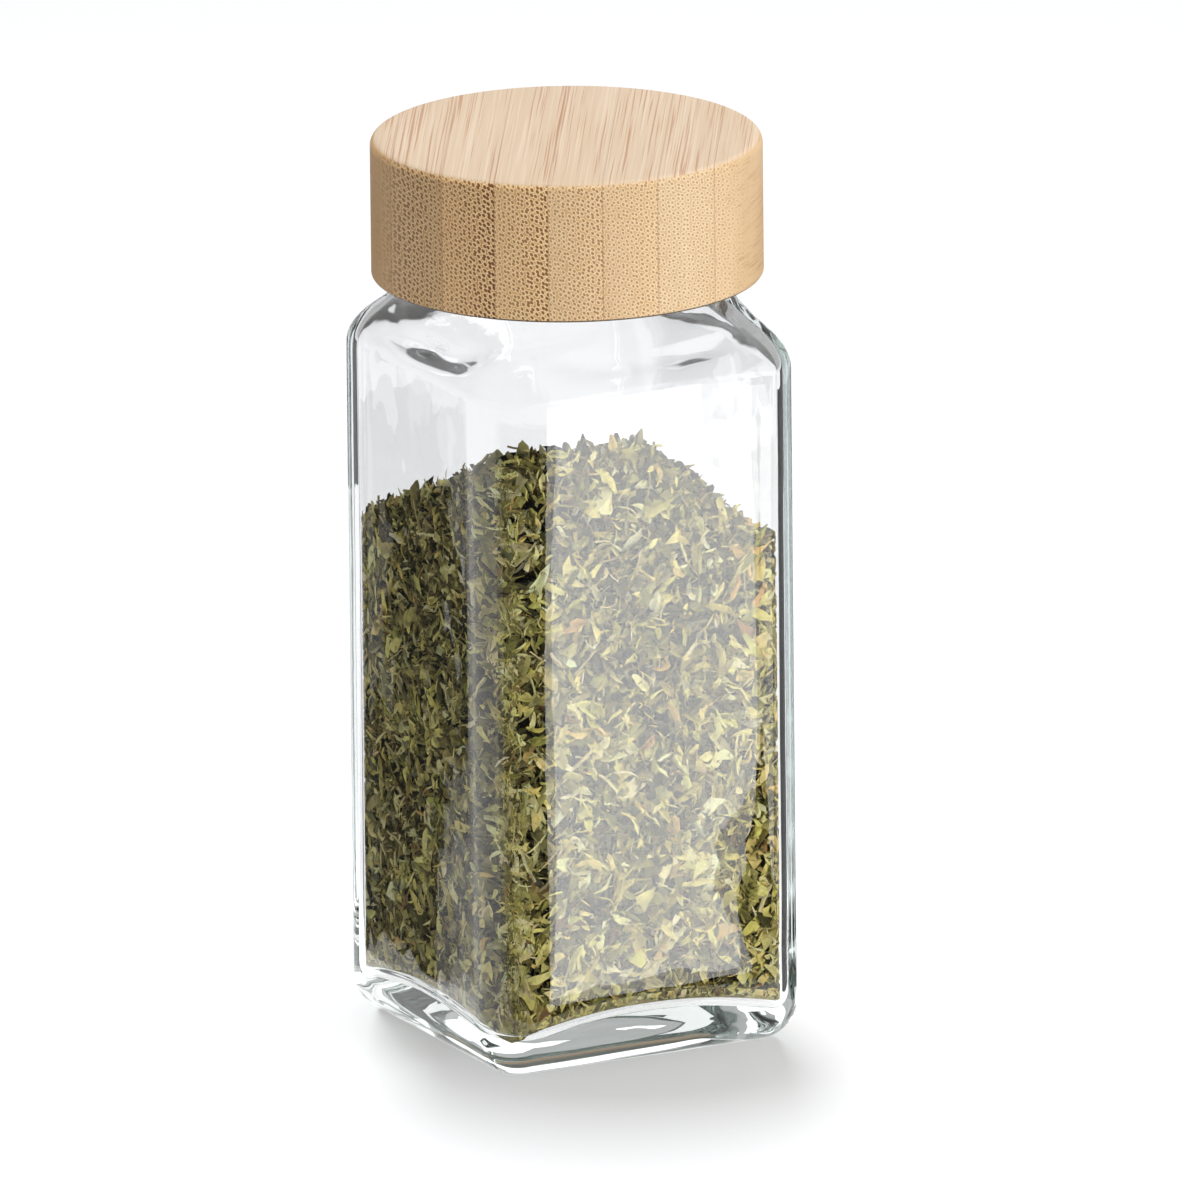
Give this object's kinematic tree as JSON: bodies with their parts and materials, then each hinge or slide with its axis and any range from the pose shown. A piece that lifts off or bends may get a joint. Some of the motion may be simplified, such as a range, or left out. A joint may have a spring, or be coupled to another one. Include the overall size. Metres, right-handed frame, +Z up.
{
  "type": "spice jar",
  "caption": "Square clear glass spice jar filled with dried green herbs, with a holed sifter insert and a round screw lid of laminated bamboo.",
  "frame": {"origin": "middle of the jar's foot, on the surface it stands on", "axes": "+Z up along the axis of the neck; the four upright faces look along +X, +Y, -X and -Y"},
  "size_m": [0.045, 0.045, 0.1058],
  "materials": {
    "clear_glass": "polished",
    "dried_herbs": "matte",
    "natural_plastic": "satin",
    "seal_foam": "matte",
    "cap_plastic": "satin",
    "bamboo": "satin"
  },
  "bodies": {
    "jar": {"glass_jar": "clear_glass", "herb_fill": "dried_herbs"},
    "sifter": {"sifter_insert": "natural_plastic"},
    "liner": {"seal_liner": "seal_foam"},
    "lid": {"inner_cap": "cap_plastic", "bamboo_strip_1": "bamboo", "bamboo_strip_2": "bamboo", "bamboo_strip_3": "bamboo", "bamboo_strip_4": "bamboo", "bamboo_strip_5": "bamboo", "bamboo_strip_6": "bamboo", "bamboo_strip_7": "bamboo", "bamboo_strip_8": "bamboo"}
  },
  "joints": [
    {"name": "sifter_lift", "type": "slide", "parent": "jar", "child": "sifter", "axis": [0, 0, 1], "range_m": [0, 0.015]},
    {"name": "lid_rise", "type": "slide", "parent": "sifter", "child": "liner", "axis": [0, 0, 1], "range_m": [0, 0.01058]},
    {"name": "lid_turn", "type": "hinge", "parent": "liner", "child": "lid", "pos_m": [0, 0, 0.1], "axis": [0, 0, 1], "range_deg": [0, 900]}
  ],
  "couplings": [
    {"joint": "lid_rise", "follows": "lid_turn", "m_per_rad": 0.00067322}
  ]
}
